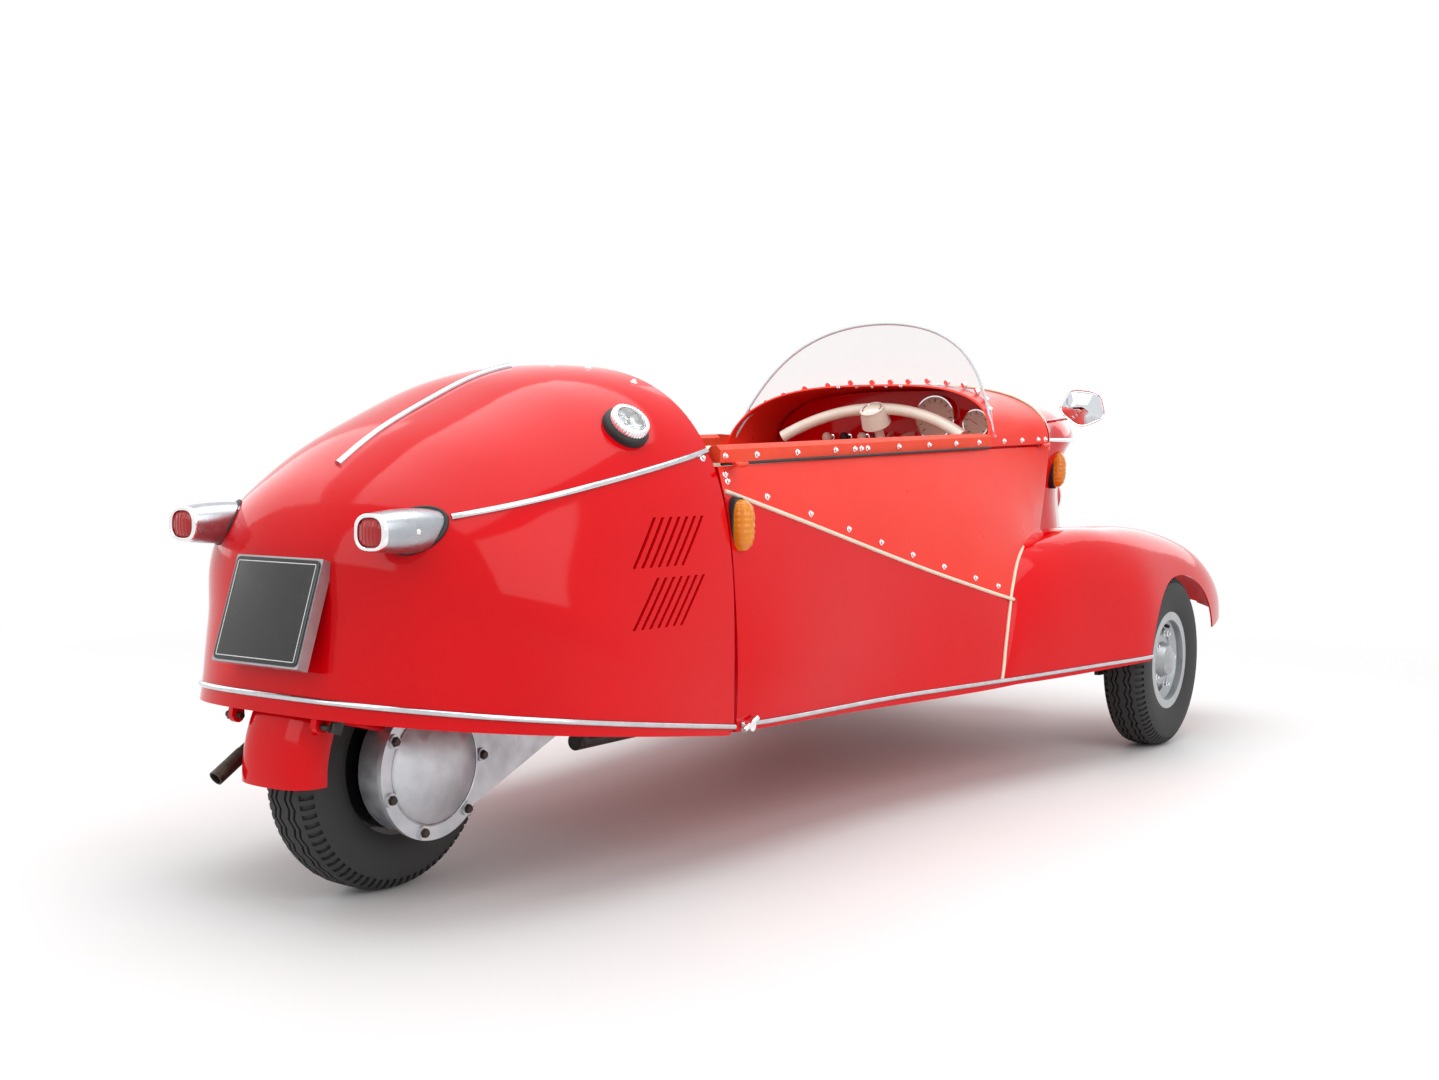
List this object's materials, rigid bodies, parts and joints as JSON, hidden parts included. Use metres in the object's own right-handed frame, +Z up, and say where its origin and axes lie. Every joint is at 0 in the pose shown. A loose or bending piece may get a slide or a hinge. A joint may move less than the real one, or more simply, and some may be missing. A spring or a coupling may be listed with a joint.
{
  "type": "three-wheeled microcar",
  "caption": "Open three-wheeled microcar with a lifting canopy frame, lifting tail cowl, coupled front steering and turning wheels.",
  "frame": {"origin": "on the ground, midway along the car and on its centre plane", "axes": "+X forward, +Y to the car's left, +Z up"},
  "size_m": [2.8155, 1.214, 1.0194],
  "materials": {
    "red_paint": "gloss",
    "dark_paint": "satin",
    "silver_paint": "satin",
    "cast_alloy": "rough",
    "polished_alloy": "polished",
    "chrome_plate": "polished",
    "steel": "dull",
    "tyre_rubber": "matte",
    "black_rubber": "matte",
    "clear_sheet": "clear",
    "red_lens": "ribbed",
    "amber_lens": "ribbed",
    "lamp_glass": "ribbed",
    "cream_vinyl": "satin",
    "red_vinyl": "satin",
    "cream_plastic": "gloss",
    "black_plastic": "satin"
  },
  "bodies": {
    "body": {"tub_shell": "red_paint", "side_panel_right": "red_paint", "nose_shell": "red_paint", "fender_right": "red_paint", "fender_left": "red_paint", "dash_panel": "red_paint", "chassis_frame": "dark_paint", "front_axle": "dark_paint", "engine_block": "cast_alloy", "drive_case": "cast_alloy", "drive_case_cover": "cast_alloy", "rear_mudguard": "red_paint", "exhaust": "steel", "front_seat_cushion": "cream_vinyl", "front_seat_back": "cream_vinyl", "rear_seat_cushion": "cream_vinyl", "rear_seat_back": "cream_vinyl", "headlamp_shells": "red_paint", "headlamp_lenses": "lamp_glass", "flasher_lenses": "amber_lens", "mirror": "chrome_plate", "instruments": "cream_plastic", "pedals": "black_rubber", "cowl_clamps": "chrome_plate"},
    "canopy": {"scuttle_panel": "red_paint", "rail_right": "red_vinyl", "rail_left": "red_vinyl", "side_panel_left": "red_paint", "windscreen": "clear_sheet"},
    "rear_cowl": {"cowl_shell": "red_paint", "tail_lamp_pods": "polished_alloy", "tail_lamp_lenses": "red_lens", "number_plate": "black_plastic", "fuel_cap": "chrome_plate"},
    "steering": {"steering_bar": "cream_plastic"},
    "knuckle_r": {"knuckle_right": "dark_paint"},
    "knuckle_l": {"knuckle_left": "dark_paint"},
    "rod_r": {"track_rod_right": "steel"},
    "rod_l": {"track_rod_left": "steel"},
    "wheel_fr": {"front_tyre_right": "tyre_rubber", "front_rim_right": "silver_paint"},
    "wheel_fl": {"front_tyre_left": "tyre_rubber", "front_rim_left": "silver_paint"},
    "wheel_rear": {"rear_tyre": "tyre_rubber", "rear_rim": "dark_paint"}
  },
  "joints": [
    {"name": "canopy_lift", "type": "hinge", "parent": "body", "child": "canopy", "pos_m": [-0.71, -0.382, 0.6813], "axis": [0.9995, 0, 0.0328], "range_deg": [0, 85]},
    {"name": "cowl_lift", "type": "hinge", "parent": "body", "child": "rear_cowl", "pos_m": [-1.362, 0, 0.295], "axis": [0, -1, 0], "range_deg": [0, 60]},
    {"name": "steer", "type": "hinge", "parent": "body", "child": "steering", "pos_m": [0.45, 0, 0.79], "axis": [-0.5446, 0, 0.8387], "range_deg": [-35, 35]},
    {"name": "kingpin_right", "type": "hinge", "parent": "body", "child": "knuckle_r", "pos_m": [0.877, -0.45, 0.207], "axis": [0, 0, 1], "range_deg": [-25, 25]},
    {"name": "kingpin_left", "type": "hinge", "parent": "body", "child": "knuckle_l", "pos_m": [0.877, 0.45, 0.207], "axis": [0, 0, 1], "range_deg": [-25, 25]},
    {"name": "rod_end_right", "type": "hinge", "parent": "knuckle_r", "child": "rod_r", "pos_m": [0.787, -0.438, 0.186], "axis": [0, 0, 1], "range_deg": [-25, 25]},
    {"name": "rod_end_left", "type": "hinge", "parent": "knuckle_l", "child": "rod_l", "pos_m": [0.787, 0.438, 0.186], "axis": [0, 0, 1], "range_deg": [-25, 25]},
    {"name": "front_wheel_right", "type": "hinge", "parent": "knuckle_r", "child": "wheel_fr", "pos_m": [0.877, -0.54, 0.207], "axis": [0, 1, 0], "continuous": true},
    {"name": "front_wheel_left", "type": "hinge", "parent": "knuckle_l", "child": "wheel_fl", "pos_m": [0.877, 0.54, 0.207], "axis": [0, 1, 0], "continuous": true},
    {"name": "rear_wheel", "type": "hinge", "parent": "body", "child": "wheel_rear", "pos_m": [-1.15, 0, 0.207], "axis": [0, 1, 0], "continuous": true}
  ],
  "couplings": [
    {"joint": "kingpin_right", "follows": "steer", "ratio": 0.714},
    {"joint": "kingpin_left", "follows": "steer", "ratio": 0.714},
    {"joint": "rod_end_right", "follows": "steer", "ratio": -0.714},
    {"joint": "rod_end_left", "follows": "steer", "ratio": -0.714}
  ]
}
